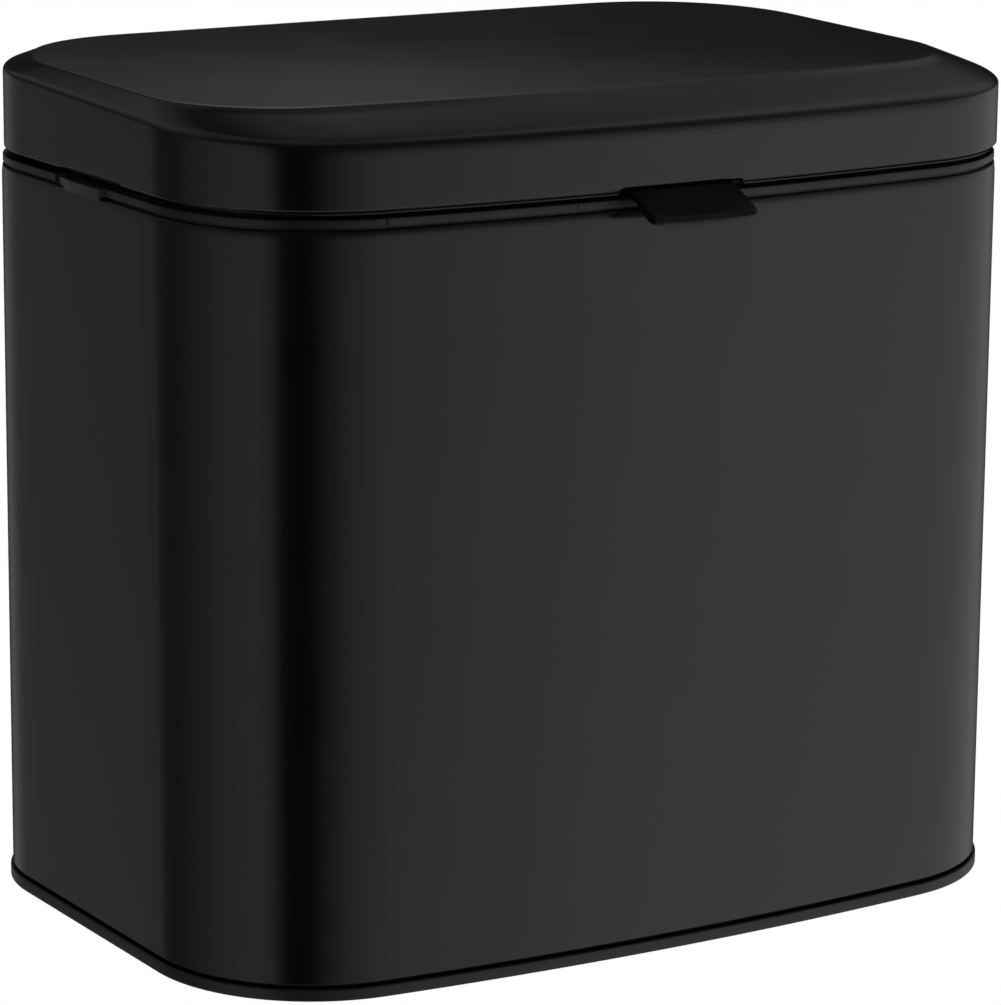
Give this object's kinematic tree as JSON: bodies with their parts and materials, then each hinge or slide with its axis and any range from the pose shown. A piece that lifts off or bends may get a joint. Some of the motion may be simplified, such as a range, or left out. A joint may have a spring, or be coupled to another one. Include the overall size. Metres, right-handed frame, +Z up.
{
  "type": "wall-mounted waste bin",
  "caption": "Small wall-mounted waste bin: bowed steel body on a wall rail, hinged lid with a finger tab, lift-out bucket with a bail handle.",
  "frame": {"origin": "middle of the wall plate's back face, in the plane of the wall", "axes": "+Z up, +X to the right for someone facing the bin, +Y into the wall"},
  "size_m": [0.262, 0.2023, 0.2375],
  "materials": {
    "black_steel": "satin",
    "zinc_steel": "satin",
    "black_plastic": "matte",
    "black_rubber": "matte"
  },
  "bodies": {
    "wall": {"wall_plate": "zinc_steel"},
    "bin": {"body_shell": "black_steel", "base_ring": "black_plastic", "base_panel": "black_steel", "rim_collar": "black_plastic", "hinge_posts": "black_plastic", "hinge_post_screws": "zinc_steel", "hanger_bracket": "zinc_steel", "hanger_rivets": "zinc_steel", "wall_bumpers": "black_rubber"},
    "lid": {"lid_shell": "black_steel", "lid_liner": "black_plastic", "lid_buffers": "black_rubber", "finger_tab": "black_plastic", "tab_screws": "zinc_steel", "lid_hinge_ears": "black_plastic", "lid_hinge_screws": "zinc_steel", "hinge_pins": "zinc_steel"},
    "bucket": {"inner_bucket": "black_plastic"},
    "bail": {"bail_wire": "zinc_steel", "bail_grip": "black_plastic"}
  },
  "joints": [
    {"name": "bin_lift_off", "type": "slide", "parent": "wall", "child": "bin", "axis": [0, 0, 1], "range_m": [0, 0.02]},
    {"name": "lid_hinge", "type": "hinge", "parent": "bin", "child": "lid", "pos_m": [0, -0.021, 0.0585], "axis": [-1, 0, 0], "range_deg": [0, 90]},
    {"name": "bucket_lift", "type": "slide", "parent": "bin", "child": "bucket", "axis": [0, 0, 1], "range_m": [0, 0.04]},
    {"name": "bail_swing", "type": "hinge", "parent": "bucket", "child": "bail", "pos_m": [0, -0.1015, 0.0522], "axis": [-1, 0, 0], "range_deg": [0, 90]}
  ],
  "couplings": [
    {"joint": "bucket_lift", "follows": "lid_hinge", "m_per_rad": 0.025439},
    {"joint": "bail_swing", "follows": "lid_hinge", "ratio": 1}
  ]
}
